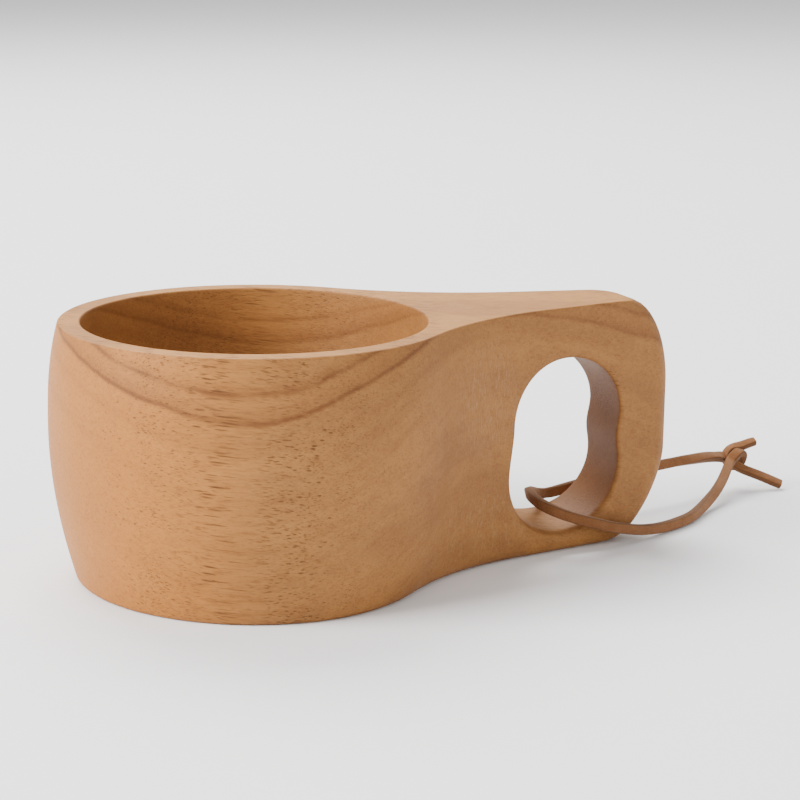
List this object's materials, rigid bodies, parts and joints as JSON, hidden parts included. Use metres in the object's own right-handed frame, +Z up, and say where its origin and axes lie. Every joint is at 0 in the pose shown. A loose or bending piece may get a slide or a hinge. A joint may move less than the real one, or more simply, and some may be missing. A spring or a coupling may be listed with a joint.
{
  "type": "kuksa wooden cup",
  "caption": "Round drinking cup carved from one block of wood, with a full-height handle, a finger opening through it and a knotted leather lace for hanging it up.",
  "frame": {"origin": "on the flat base, under the middle of the bowl", "axes": "+X from the bowl's middle along the handle, +Z up out of the bowl's mouth, +Y to the side where the lace's knot lies"},
  "size_m": [0.2155, 0.1004, 0.0634],
  "materials": {
    "wood": "sanded and lightly oiled, satin",
    "lace": "suede, matt"
  },
  "bodies": {
    "cup_body": {"cup": "wood"},
    "lace": {"lace_front": "lace", "lace_back": "lace", "lace_knot": "lace", "lace_tail_long": "lace", "lace_tail_short": "lace"}
  },
  "joints": [
    {"name": "lace_swing", "type": "hinge", "parent": "cup_body", "child": "lace", "pos_m": [0.0845, 0, 0.014], "axis": [0, -1, 0], "range_deg": [0, 30]}
  ]
}
